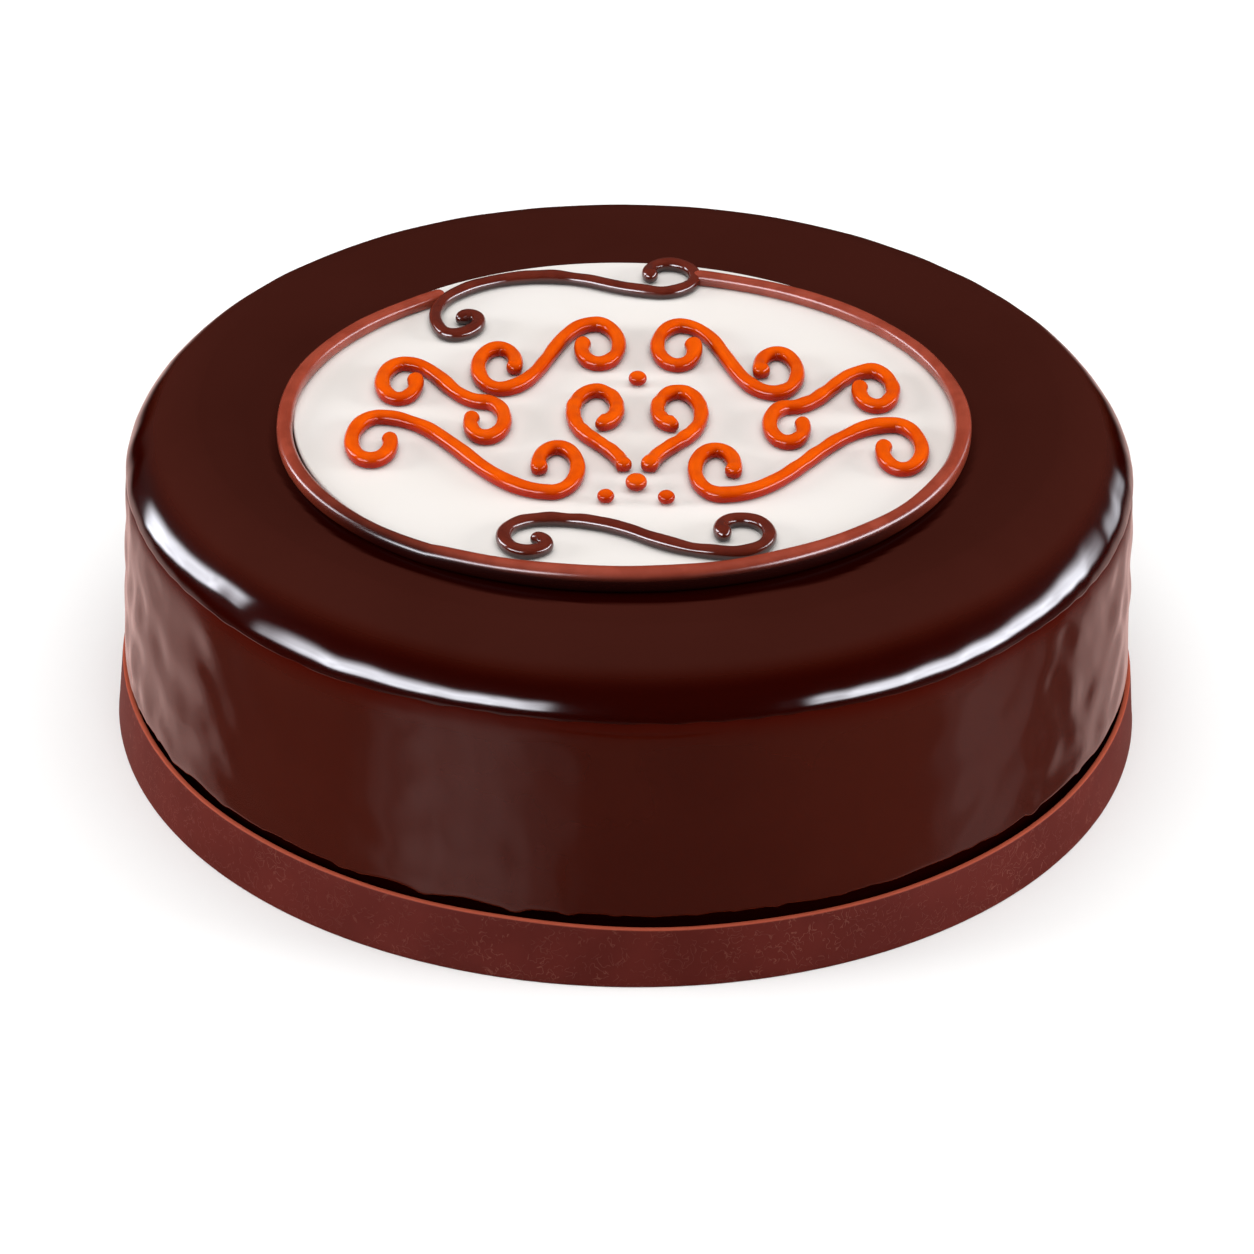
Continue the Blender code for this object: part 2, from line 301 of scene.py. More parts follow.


# colour = mix of two browns by wide soft clouds, then the flat top's painted sheen, the shoulder's
# painted shade, the ledge's colour and the painted shade by their attributes; coat weight falls where they cover
def glazeMaterial():
    look = glazeLook
    material, tree, shader, place = startMaterial(
        "chocolateGlaze", Specular_IOR_Level=0.0, Roughness=0.5, Coat_IOR=1.5, Coat_Roughness=look["roughness"])
    clouds = useMottle(tree, place, look["cloudScale"], 0.35, 0.65)
    colour = mixColour(tree, clouds, look["colour"], look["deepColour"])
    # painted sheen: the flat top takes its own greyer colour and keeps little gloss
    topColourWithPaintedSheen = mixColour(tree, clouds, look["topColourWithPaintedSheen"], look["deepTopColourWithPaintedSheen"])
    mattTopPaintedSheen = attributeOf(tree, "mattTopPaintedSheen")
    colour = mixColour(tree, mattTopPaintedSheen, colour, topColourWithPaintedSheen)
    # painted shade: the shoulder is darker
    paintedShoulderShade = attributeOf(tree, "paintedShoulderShade")
    colour = mixColour(tree, paintedShoulderShade, colour, look["paintedRimShadingColour"])
    ledge = attributeOf(tree, "ledge")
    colour = mixColour(tree, ledge, colour, look["ledgeColour"])
    shade = attributeOf(tree, "shade")
    tree.links.new(mixColour(tree, shade, colour, look["shadeColour"]), shader.inputs["Base Color"])
    covered = mathNode(tree, "MAXIMUM", mattTopPaintedSheen, shade)
    covered = mathNode(tree, "MAXIMUM", covered, mathNode(tree, "MULTIPLY", ledge, look["ledgeGloss"]))
    gloss = mathNode(tree, "MULTIPLY_ADD", covered, look["dullGloss"] - 1.0, 1.0)
    tree.links.new(gloss, shader.inputs["Coat Weight"])
    return material


glazeShape = {
    "sideRadius": 0.115,         # where the shoulder meets the side
    "shoulderWidth": 0.01725,
    "shoulderDrop": 0.0148,
    "shoulderPower": 1.6,        # 2 is a quarter ellipse, 1 a straight slope
    "footRadius": 0.1172,
    "lipHeight": 0.0166,         # underside of the glaze's lower edge
    "lipRound": 0.0012,
    "grooveRadius": 0.1145,      # shadow groove behind the band
    "grooveFloor": 0.0128,
    "baseHeight": 0.0115,
    "baseTopRadius": 0.1163,
    "baseFootRadius": 0.1178,
    "creaseDepth": 0.00032,
    "creaseReach": 0.0030,
    "creaseFray": 0.00011,
    "ledgeReach": 0.0032,        # the side is warmer and duller this far under the crease
    "foldDepth": 0.00024,        # second fold, just under the crease in front
    "foldDrop": 0.0021,
    "creaseWander": 0.00030,
    "footWander": 0.00028,
    "dripLength": 0.00055,
    "rippleDepth": 0.00015,
    "calmRipple": 0.25,          # share of the ripples left at the front and back
    "shoulderRipple": 0.00005,
    "columns": 640,
}
ringShape = {
    "centre": (-0.0014, -0.0141),
    "halfWidth": 0.0761,
    "halfDepth": 0.0705,
    "turned": 6.2,
    "radius": 0.0020,
    "backTaper": 0.09,
    "from": -241.5,
    "to": 72.5,
    "shadeSide": 0.0014,         # the glaze is darker this far out from the ring's foot
    "shadeFront": 0.0040,
}


# distance out from the ring's middle line = |q| (1 - 1 / k), where q is the place seen from
# the oval's centre and k = sqrt((q_x / a)^2 + (q_y / b)^2) along its turned axes
def outsideRing(x, y):
    turned = np.radians(ringShape["turned"])
    fromX = x - ringShape["centre"][0]
    fromY = y - ringShape["centre"][1]
    along = fromX * np.cos(turned) + fromY * np.sin(turned)
    across = fromY * np.cos(turned) - fromX * np.sin(turned)
    k = np.hypot(along / ringShape["halfWidth"], across / ringShape["halfDepth"])
    return np.hypot(along, across) * (1.0 - 1.0 / np.maximum(k, 0.01))


# Profile turned round Z: flat top, then a superellipse shoulder
# r = R - W + W sin^(2/p), z = H - D + D cos^(2/p); an undercut crease and a faint second fold;
# a side that widens evenly; a quarter-circle lip curling under; a groove; then the base
# inside the band. The crease and lip heights wander with the angle round, and slanted
# ripples push the skin along its slope.
def glazeBody(material):
    shape = glazeShape
    around = np.linspace(0.0, turn, shape["columns"], endpoint=False)
    ones = np.ones_like(around)[None, :]
    top = bodyHigh.z
    creaseHeight = top - shape["shoulderDrop"] + shape["creaseWander"] * wavesRound(around, 3, 2, 14, 0.7)
    fray = shape["creaseFray"] * wavesRound(around, 29, 30, 120, 0.1)
    drips = np.clip(wavesRound(around, 21, 25, 110, 0.1) - 0.6, 0.0, None)
    lipHeight = shape["lipHeight"] + shape["footWander"] * wavesRound(around, 5, 5, 50, 0.4)
    lipHeight = lipHeight - shape["dripLength"] * drips
    sideFoot = lipHeight + shape["lipRound"]
    flatEdge = shape["sideRadius"] - shape["shoulderWidth"]
    flatRadius = np.concatenate([np.linspace(0.002, 0.062, 6), np.linspace(0.066, flatEdge, 40)])[:, None] * ones
    flatHeight = top * np.ones_like(flatRadius)
    bend = np.linspace(0.0, np.pi / 2.0, 46)[1:, None]
    out = np.sin(bend) ** (2.0 / shape["shoulderPower"])
    up = np.cos(bend) ** (2.0 / shape["shoulderPower"])
    bendRadius = (shape["sideRadius"] + shape["shoulderWidth"] * (out - 1.0)) * ones
    bendHeight = creaseHeight[None, :] + (top - creaseHeight)[None, :] * up
    bendHeight = bendHeight + fray[None, :] * (1.0 - up) ** 8.0
    drop = np.concatenate([np.linspace(0.0, 0.004, 20)[1:], np.linspace(0.004, 0.044, 46)[1:]])[:, None] / 0.044
    fall = drop * (creaseHeight - sideFoot)[None, :]
    crease = shape["creaseDepth"] * smoothStep(fall, 0.0, 0.0002) * np.exp(-(fall / shape["creaseReach"]) ** 2)
    foldShare = np.exp(-((around - 1.5 * np.pi - 0.03) / 0.09) ** 2)
    foldDrop = shape["foldDrop"] + 0.0004 * wavesRound(around, 19, 3, 20, 0.6)
    fold = shape["foldDepth"] * foldShare[None, :] * np.exp(-((fall - foldDrop[None, :]) / 0.00035) ** 2)
    widening = (shape["footRadius"] - shape["sideRadius"]) * drop * ones
    sideRadius = shape["sideRadius"] + widening - crease - fold
    sideHeight = creaseHeight[None, :] - fall + fray[None, :] * np.exp(-(fall / 0.0010) ** 2)
    curl = np.linspace(0.0, np.pi / 2.0, 9)[1:, None]
    curlRadius = shape["footRadius"] - shape["lipRound"] * (1.0 - np.cos(curl)) * ones
    curlHeight = sideFoot[None, :] - shape["lipRound"] * np.sin(curl)
    baseRadius = np.array([shape["grooveRadius"], shape["grooveRadius"], shape["baseTopRadius"],
                           shape["baseFootRadius"]])[:, None] * ones
    baseHeight = np.stack([lipHeight + 0.0001, shape["grooveFloor"] * ones[0], shape["baseHeight"] * ones[0],
                           0.0 * ones[0]])
    radius = np.concatenate([flatRadius, bendRadius, sideRadius, curlRadius, baseRadius])
    height = np.concatenate([flatHeight, bendHeight, sideHeight, curlHeight, baseHeight])
    onSide = smoothStep(height, sideFoot[None, :] - 0.001, sideFoot[None, :] + 0.004)
    onSide = onSide * smoothStep(-height, -creaseHeight[None, :] - 0.001, -creaseHeight[None, :] + 0.006)
    onShoulder = smoothStep(height, creaseHeight[None, :] - 0.001, creaseHeight[None, :] + 0.001)
    onShoulder = onShoulder * smoothStep(radius, 0.100, 0.109)
    sideways = smoothStep(np.abs(np.cos(around)), 0.55, 0.88)
    lively = shape["calmRipple"] + (1.0 - shape["calmRipple"]) * sideways
    wide = ripplesOn(around, height, 7, 9, 75, 0.6, 320.0)
    tight = ripplesOn(around, height, 9, 10, 60, 0.4, 120.0)
    push = shape["rippleDepth"] * lively[None, :] * onSide * wide + shape["shoulderRipple"] * onShoulder * tight
    slope = np.arctan2(np.gradient(radius, axis=0), -np.gradient(height, axis=0))
    tilt = 90.0 - np.degrees(slope)
    isTop = np.zeros_like(radius)
    isTop[:flatRadius.shape[0] + bendRadius.shape[0] - 1] = 1.0
    # painted shade on the shoulder from a tilt of 36 to 51 degrees; painted sheen and little gloss on the flat
    # top
    paintedShoulderShade = smoothStep(tilt, 36.0, 51.0) * isTop
    mattTopPaintedSheen = (1.0 - smoothStep(tilt, 34.0, 48.0)) * isTop
    ledge = np.zeros_like(radius)
    sideFrom = flatRadius.shape[0] + bendRadius.shape[0]
    ledge[sideFrom:sideFrom + fall.shape[0]] = np.exp(-(fall / shape["ledgeReach"]) ** 2)
    isUnder = np.zeros_like(radius)
    isUnder[-curlRadius.shape[0] // 2 - baseRadius.shape[0]:] = 1.0
    radius = radius + push * np.cos(slope) * (height > shape["baseHeight"] + 0.001)
    height = height + push * np.sin(slope) * (height > shape["baseHeight"] + 0.001)
    x = radius * np.cos(around)
    y = radius * np.sin(around)
    nearer = smoothStep(-(y - ringShape["centre"][1]), 0.02, 0.07)
    reach = ringShape["shadeSide"] + (ringShape["shadeFront"] - ringShape["shadeSide"]) * nearer
    reach = ringShape["radius"] + reach * (1.0 + 0.07 * wavesRound(around, 23, 3, 18, 0.3))[None, :]
    beyond = outsideRing(x, y)
    frontShare = smoothStep(-(y - ringShape["centre"][1]), -0.01, 0.05)
    shade = smoothStep(-beyond, -reach - 0.0004, -reach + 0.0004) * isTop * frontShare
    shade = np.maximum(shade, isUnder)
    grid = np.stack([x, y, height], axis=-1)
    body = skinOver("glaze_body", grid, (0.0, 0.0, top), (0.0, 0.0, 0.0), material)
    for name, values in (("mattTopPaintedSheen", mattTopPaintedSheen), ("paintedShoulderShade", paintedShoulderShade), ("ledge", ledge), ("shade", shade)):
        storeOn(body.data, name, np.concatenate([values.ravel(), values[[0, -1], 0]]))
    return placeFor(body, "cake_body")


glazeBody(glazeMaterial())
print("glaze made")


# ---- band round the foot

bandLook = {
    "colour": (0.084, 0.0100, 0.0062),
    "darkColour": (0.072, 0.0080, 0.0047),
    # painted highlight: the band's top edge is lighter
    "paintedRimShadingColour": (0.400, 0.0800, 0.0430),
    "paleColour": (0.230, 0.0800, 0.0560),
    "squiggleScale": 520.0,
    "squiggleDepth": 0.00006,
    "roughness": 0.55,
}


# colour = two browns in clouds, pale squiggles and specks on top, and a painted highlight on the top edge
def bandMaterial():
    look = bandLook
    material, tree, shader, place = startMaterial("matteBand", IOR=1.45, Roughness=look["roughness"], Specular_IOR_Level=0.06)
    clouds = useMottle(tree, place, 60.0, 0.35, 0.65)
    colour = mixColour(tree, clouds, look["colour"], look["darkColour"])
    lines = useSquiggle(tree, place, look["squiggleScale"], 0.026, 0.46)
    patches = useMottle(tree, place, 45.0, 0.42, 0.62)
    faint = mathNode(tree, "MULTIPLY", lines, mathNode(tree, "MULTIPLY_ADD", patches, 0.22, 0.14))
    colour = mixColour(tree, faint, colour, look["paleColour"])
    specks = useMottle(tree, place, 1500.0, 0.74, 0.80)
    colour = mixColour(tree, mathNode(tree, "MULTIPLY", specks, 0.7), colour, look["paleColour"])
    # painted highlight on the band's top edge
    paintedRimHighlight = attributeOf(tree, "paintedRimHighlight")
    colour = mixColour(tree, paintedRimHighlight, colour, look["paintedRimShadingColour"])
    tree.links.new(colour, shader.inputs["Base Color"])
    raised = mathNode(tree, "MULTIPLY", lines, mathNode(tree, "SUBTRACT", 1.0, paintedRimHighlight))
    bumpInto(tree, shader, raised, 0.6, look["squiggleDepth"])
    return material


bandShape = {
    "topRadius": 0.1179,
    "footRadius": 0.1194,
    "thickness": 0.0013,
    "edgeRound": 0.00035,
    "heightWander": 0.00012,
    "radiusWander": 0.00012,
    "rightDip": 0.0012,          # the top edge sits this much lower on the right
    "columns": 480,
}


# Section turned round Z: a leaning strip with small quarter-circle edges; its top height and
# its radius wander a little with the angle round
def baseBand(material):
    shape = bandShape
    around = np.linspace(0.0, turn, shape["columns"], endpoint=False)
    top = bandHigh.z - 0.0002 + shape["heightWander"] * wavesRound(around, 31, 2, 14, 0.8)
    top = top - shape["rightDip"] * smoothStep(np.cos(around), -0.25, 0.15)
    shift = shape["radiusWander"] * wavesRound(around, 33, 2, 12, 0.7)
    edge = shape["edgeRound"]
    quarter = np.linspace(0.0, np.pi / 2.0, 5)
    half = shape["thickness"] / 2.0
    # the section as (across, share of the height, lift), from the inner foot up and over
    across = np.concatenate([
        [-half, -half], -half + edge * (1.0 - np.cos(quarter)), half - edge * (1.0 - np.sin(quarter)),
        [half] * 4, half - edge * (1.0 - np.cos(quarter)), [0.0]])
    share = np.concatenate([[0.0, 0.5], np.ones(5), np.ones(5), [0.8, 0.55, 0.3, 0.1], np.zeros(5), [0.0]])
    lift = np.concatenate([
        [0.0, 0.0], -edge * (1.0 - np.sin(quarter)), -edge * (1.0 - np.cos(quarter)),
        [0.0] * 4, edge * (1.0 - np.sin(quarter)), [0.0]])
    # painted highlight: share of the lighter colour round the section, on the band's top edge
    paintedRimHighlight = np.zeros(share.size)
    paintedRimHighlight[2:12] = [1.0, 1.0, 1.0, 1.0, 1.0, 1.0, 0.95, 0.70, 0.25, 0.0]
    lean = (shape["topRadius"] - shape["footRadius"]) * share + shape["footRadius"] - half
    radius = lean[:, None] + across[:, None] + shift[None, :] * share[:, None]
    height = share[:, None] * top[None, :] + lift[:, None]
    grid = np.stack([radius * np.cos(around), radius * np.sin(around), height], axis=-1)
    rows, columns = grid.shape[:2]
    here = np.arange(rows * columns).reshape(rows, columns)
    beside = np.roll(here, -1, axis=1)
    below = np.roll(here, -1, axis=0)
    cross = np.roll(beside, -1, axis=0)
    quads = np.stack([here, below, cross, beside], axis=-1).reshape(-1, 4)
    mesh = bpy.data.meshes.new("chocolate_band")
    mesh.from_pydata(grid.reshape(-1, 3).tolist(), [], quads.tolist())
    mesh.shade_smooth()
    storeOn(mesh, "paintedRimHighlight", np.repeat(paintedRimHighlight, columns))
    mesh.materials.append(material)
    piece = bpy.data.objects.new("chocolate_band", mesh)
    bpy.context.scene.collection.objects.link(piece)
    return placeFor(piece, "base_band")


baseBand(bandMaterial())
print("band made")


# ---- plaque

plaqueLook = {
    "colour": (0.722, 0.692, 0.668),
    "shadeColour": (0.716, 0.683, 0.654),
    "roughness": 0.45,
    "grainScale": 700.0,
    "grainDepth": 0.00003,
}


# colour = two creams in wide clouds; a fine grain lifts the surface
def plaqueMaterial():
    look = plaqueLook
    material, tree, shader, place = startMaterial("sugarPlaque", IOR=1.45, Roughness=look["roughness"])
    clouds = useMottle(tree, place, 45.0, 0.35, 0.65)
    tree.links.new(mixColour(tree, clouds, look["colour"], look["shadeColour"]), shader.inputs["Base Color"])
    grain = addNode(tree, "ShaderNodeTexNoise")
    feed(tree, grain, Vector=place, Scale=look["grainScale"], Detail=3.0)
    bumpInto(tree, shader, grain.outputs[0], 0.3, look["grainDepth"])
    return material


plaqueShape = {
    "edgeRound": 0.0006,
    "columns": 256,
}


# Disc turned round its own centre: flat top, quarter-circle edge, straight wall, flat foot
def plaqueDisc(material):
    shape = plaqueShape
    around = np.linspace(0.0, turn, shape["columns"], endpoint=False)[None, :]
    outer = (plaqueHigh.x - plaqueLow.x) / 2.0
    middle = ((plaqueHigh.x + plaqueLow.x) / 2.0, (plaqueHigh.y + plaqueLow.y) / 2.0)
    foot = bodyHigh.z - 0.0002
    edge = shape["edgeRound"]
    quarter = np.linspace(0.0, np.pi / 2.0, 7)
    radius = np.concatenate([np.linspace(0.05, 0.97, 10) * outer, outer - edge + edge * np.sin(quarter), [outer]])
    height = np.concatenate([np.full(10, plaqueHigh.z), plaqueHigh.z - edge + edge * np.cos(quarter), [foot]])
    x = middle[0] + radius[:, None] * np.cos(around)
    y = middle[1] + radius[:, None] * np.sin(around)
    grid = np.stack([x, y, height[:, None] * np.ones_like(around)], axis=-1)
    disc = skinOver("sugar_plaque", grid, (*middle, plaqueHigh.z), (*middle, foot), material)
    return placeFor(disc, "plaque")


plaqueDisc(plaqueMaterial())
print("plaque made")


# ---- piped beads

everywhere = (1.0, 0.9)
ringLook = {
    "colour": (0.270, 0.0460, 0.0240),
    "deepColour": (0.220, 0.0330, 0.0160),
    # painted shade: the lower walls are darker
    "paintedFootShadeColour": (0.014, 0.0008, 0.0002),
    "foot": (0.0028, 0.0053),    # heights over the glaze between which the foot fades
    "front": (-0.030, -0.070),   # and it grows between these places in Y
    "roughness": 0.22,
    "specular": 0.45,
}
scrollLook = {
    "colour": (0.110, 0.0160, 0.0080),
    "deepColour": (0.085, 0.0110, 0.0055),
    # painted shade: the lower walls are darker
    "paintedFootShadeColour": (0.024, 0.0020, 0.0006),
    "foot": (0.0022, 0.0041),
    "front": everywhere,
    "roughness": 0.12,
    "specular": 0.60,
}
orangeLook = {
    "colour": (0.640, 0.0780, 0.0006),
    "deepColour": (0.570, 0.0600, 0.0003),
    # painted shade: the lower walls are darker
    "paintedFootShadeColour": (0.330, 0.0120, 0.0001),
    "foot": (0.0029, 0.0047),
    "front": everywhere,
    "roughness": 0.09,
    "specular": 0.16,
}


# glossy set piping: colour in faint clouds, with painted shade deeper towards the foot, with a faint uneven
# surface; height share = smooth step between two heights over the glaze
def pipingMaterial(name, look):
    material, tree, shader, place = startMaterial(
        name, IOR=1.5, Roughness=look["roughness"], Specular_IOR_Level=look["specular"])
    clouds = useMottle(tree, place, 160.0, 0.35, 0.65)
    colour = mixColour(tree, clouds, look["colour"], look["deepColour"])
    # painted shade: the colour darkens towards the foot
    foot = useFootShade(tree, place, look["foot"], look["front"])
    colour = mixColour(tree, foot, colour, look["paintedFootShadeColour"])
    tree.links.new(colour, shader.inputs["Base Color"])
    lift = addNode(tree, "ShaderNodeTexNoise")
    feed(tree, lift, Vector=place, Scale=350.0, Detail=2.0)
    bumpInto(tree, shader, lift.outputs[0], 0.12, 0.00010)
    return material


# arcs (radius, turn) joined end to end: the heading grows by each small bend, and the place
# is the running sum of chords 2 r sin(bend / 2) along the middle heading
def arcChain(start, arcs, step=3.0):
    radii = np.array([radius for radius, bend in arcs])
    turns = np.radians([bend for radius, bend in arcs])
    parts = np.maximum(1, np.ceil(np.abs(turns) / np.radians(step))).astype(int)
    bends = np.repeat(turns / parts, parts)
    chords = 2.0 * np.repeat(radii, parts) * np.sin(np.abs(bends) / 2.0)
    headings = np.radians(start[2]) + np.cumsum(bends) - bends / 2.0
    x = start[0] + np.concatenate([[0.0], np.cumsum(chords * np.cos(headings))])
    y = start[1] + np.concatenate([[0.0], np.cumsum(chords * np.sin(headings))])
    return np.stack([x, y], axis=-1)


# spiral: radius grows evenly from the inner tip to the outer radius over its turn
def volute(x, y, outer, leave, way, voluteTurn=300.0, inner=0.0030):
    share = np.linspace(0.0, 1.0, 90)
    angle = np.radians(leave - way * voluteTurn * (1.0 - share))
    radius = inner + (outer - inner) * share
    return np.stack([x + radius * np.cos(angle), y + radius * np.sin(angle)], axis=-1)


# stem: cubic from one point to another, its two handles 0.4 of the span along the headings
def stemBetween(begin, leaving, end, arriving):
    t = np.linspace(0.0, 1.0, 60)[1:-1, None]
    pull = 0.4 * np.linalg.norm(end - begin)
    first = np.array([np.cos(np.radians(leaving)), np.sin(np.radians(leaving))])
    last = np.array([np.cos(np.radians(arriving)), np.sin(np.radians(arriving))])
    place = begin * (1 - t) ** 3 + (begin + first * pull) * 3 * t * (1 - t) ** 2
    return place + (end - last * pull) * 3 * t ** 2 * (1 - t) + end * t ** 3


def doubleScroll(first, second):
    opening = volute(*first)
    closing = volute(*second[:4], -second[4])[::-1]
    stem = stemBetween(opening[-1], first[3] + 90.0 * first[4], closing[0], second[3] + 90.0 * second[4])
    return np.concatenate([opening, stem, closing])


def curlWithTail(curl, curlTurn, tail):
    opening = volute(*curl, curlTurn)
    end = np.array(tail[:2])
    stem = stemBetween(opening[-1], curl[3] + 90.0 * curl[4], end, tail[2])
    return np.concatenate([opening, stem, end[None, :]])


beadShape = {
    "step": 0.0004,
    "sides": 24,
    "thicknessWander": 0.03,
    "endSwell": 0.10,
    "belly": 0.90,               # depth of the lower half, as a share of the radius
    "lowerPower": 2.8,           # 2 is round below, more stands on steeper walls
}


# Bead along a route: section = radius (side cos a + up sin a), and below the middle
# radius (side cos^(2/p) a - up belly sin^(2/p) a), which stands on steeper walls; near
# each end the radius is r sin b at a distance r (1 - cos b), so that the end is a half ball
def pipedBead(name, route, radius, ground, seed, material, factor=None, swell=None, belly=None, power=None,
              sink=None):
    shape = beadShape
    swell = shape["endSwell"] if swell is None else swell
    steps = np.linalg.norm(np.diff(route, axis=0), axis=1)
    travelled = np.concatenate([[0.0], np.cumsum(steps)])
    length = travelled[-1]
    quarter = np.linspace(0.0, np.pi / 2.0, 9)[1:]
    tip = radius * (1.0 - np.cos(quarter))
    middle = np.linspace(tip[-1], length - tip[-1], int(length / shape["step"]))[1:-1]
    done = np.concatenate([tip, middle, length - tip[::-1]])
    x = np.interp(done, travelled, route[:, 0])
    y = np.interp(done, travelled, route[:, 1])
    alongX = np.gradient(x, done)
    alongY = np.gradient(y, done)
    size = np.hypot(alongX, alongY)
    sideX = alongY / size
    sideY = -alongX / size
    toTip = np.minimum(done, length - done)
    rounding = np.sqrt(np.clip(1.0 - (1.0 - np.clip(toTip / radius, 0.0, 1.0)) ** 2, 0.0, 1.0))
    wander = 1.0 + shape["thicknessWander"] * wavesRound(done / length * turn, seed, 2, 18, 0.6)
    bulge = 1.0 + swell * np.exp(-((toTip - radius) / (1.6 * radius)) ** 2)
    thickness = radius * wander * bulge * rounding
    full = radius * wander * bulge
    if factor is not None:
        share = np.interp(done, travelled, factor)
        thickness = thickness * share
        full = full * share
    floorHeight = np.interp(done, travelled, ground) if np.ndim(ground) else np.full_like(done, ground)
    belly = shape["belly"] if belly is None else belly
    angle = np.linspace(0.0, turn, shape["sides"], endpoint=False)[None, :]
    centre = floorHeight + full * belly
    power = shape["lowerPower"] if power is None else power
    below = np.sin(angle) < -1e-9
    boxed = np.sign(np.cos(angle)) * np.abs(np.cos(angle)) ** (2.0 / power)
    across = np.where(below, boxed, np.cos(angle))
    rise = np.where(below, -belly * np.abs(np.sin(angle)) ** (2.0 / power), np.sin(angle))
    gridX = x[:, None] + sideX[:, None] * thickness[:, None] * across
    gridY = y[:, None] + sideY[:, None] * thickness[:, None] * across
    gridZ = centre[:, None] + thickness[:, None] * rise
    if sink is not None:
        gridZ = gridZ - np.maximum(0.0, -np.sin(angle)) * sink(gridX, gridY, gridZ)
    grid = np.stack([gridX, gridY, gridZ], axis=-1)
    return skinOver(name, grid, (route[0, 0], route[0, 1], centre[0]), (route[-1, 0], route[-1, 1], centre[-1]),
                    material)


# ---- ring round the plaque

# Oval route: centre + turned (a cos t, b sin t); the bead thins towards the back by
# 1 - taper (1 + sin t), and it stands on the plaque or, outside it, on the glaze
def borderRing(material):
    shape = ringShape
    t = np.radians(np.linspace(shape["from"], shape["to"], 900))
    turned = np.radians(shape["turned"])
    along = shape["halfWidth"] * np.cos(t)
    across = shape["halfDepth"] * np.sin(t)
    x = shape["centre"][0] + along * np.cos(turned) - across * np.sin(turned)
    y = shape["centre"][1] + along * np.sin(turned) + across * np.cos(turned)
    middleX = (plaqueHigh.x + plaqueLow.x) / 2.0
    middleY = (plaqueHigh.y + plaqueLow.y) / 2.0
    beyond = np.hypot(x - middleX, y - middleY) - (plaqueHigh.x - plaqueLow.x) / 2.0
    radius = shape["radius"]
    overEdge = plaqueHigh.z + np.sqrt(np.clip(radius ** 2 - np.clip(beyond, 0.0, None) ** 2, 0.0, None)) - radius
    ground = np.maximum(bodyHigh.z, overEdge)
    factor = 1.0 - shape["backTaper"] * (1.0 + np.sin(t))
    route = np.stack([x, y], axis=-1)

    # outside the plaque the lower walls run on down to the glaze
    def toGlaze(placeX, placeY, placeZ):
        away = np.hypot(placeX - middleX, placeY - middleY) - (plaqueHigh.x - plaqueLow.x) / 2.0
        return smoothStep(away, -0.0006, 0.0002) * np.clip(placeZ - bodyHigh.z - 0.0001, 0.0, None)

    ring = pipedBead("border_ring", route, radius, ground, 41, material, factor=factor, swell=0.0,
                     belly=1.0, power=4.0, sink=toGlaze)
    return placeFor(ring, "border_bead")


scrollShapes = {
    "radius": 0.0016,
    "topStart": (-0.0395, 0.0307, 109.5),
    "topArcs": [(0.0019, -190), (0.0069, -78), (0.0030, -82), (0.0167, -72), (0.0289, -74),
                (0.0425, 18), (0.0083, 98), (0.0065, 87), (0.0046, 140)],
    "bottomStart": (-0.0207, -0.0699, 41.5),
    "bottomArcs": [(0.0019, -165), (0.0045, -106), (0.0072, -101), (0.0123, -29), (0.0336, -37),
                   (0.0341, 34), (0.0080, 105), (0.0059, 88), (0.0042, 135)],
}


def brownPiping():
    ringGloss = pipingMaterial("ringPiping", ringLook)
    scrollGloss = pipingMaterial("scrollPiping", scrollLook)
    borderRing(ringGloss)
    shape = scrollShapes
    top = pipedBead("scroll_top", arcChain(shape["topStart"], shape["topArcs"]), shape["radius"],
                    plaqueHigh.z, 43, scrollGloss)
    placeFor(top, "top_scroll")
    bottom = pipedBead("scroll_bottom", arcChain(shape["bottomStart"], shape["bottomArcs"]), shape["radius"],
                       plaqueHigh.z, 44, scrollGloss)
    placeFor(bottom, "bottom_scroll")


brownPiping()
print("ring and scrolls made")


# ---- orange flourishes

flourishShape = {
    "radius": 0.00175,
    "middle": (0.0015, -0.009),
    "stretch": 1.9,              # drawn heights are stretched this much in Y
    "heartTurn": 280.0,
}


def flourishRoutes():
    return {
        "upper_scroll": doubleScroll(
            (0.0096, 0.0146, 0.0060, 90, -1), (0.0314, 0.0096, 0.0060, -90, 1)),
        "upper_heart": curlWithTail(
            (0.0086, -0.0014, 0.0058, 0, -1), flourishShape["heartTurn"], (0.0024, -0.0152, -115)),
        "lower_scroll": doubleScroll(
            (0.0182, -0.0148, 0.0062, -90, 1), (0.0580, -0.0100, 0.0062, 90, -1)),
        "lower_curl": doubleScroll(
            (0.0340, -0.0046, 0.0048, 90, -1), (0.0536, 0.0046, 0.0050, 90, -1)),
    }


# place = middle + (hand x, stretch y)
def onPlaque(drawn, hand):
    middle = flourishShape["middle"]
    x = middle[0] + hand * np.asarray(drawn)[..., 0]
    y = middle[1] + flourishShape["stretch"] * np.asarray(drawn)[..., 1]
    return np.stack([x, y], axis=-1)


pearlShape = {
    "squash": 0.8,
    "sides": 24,
}
pearls = [
    ("pearl_top", (0.0, 0.0068), 0.0021),
    ("pearl_foot", (0.0, -0.0186), 0.0024),
    ("pearl_left", (-0.0066, -0.0216), 0.0019),
    ("pearl_right", (0.0066, -0.0216), 0.0019),
]


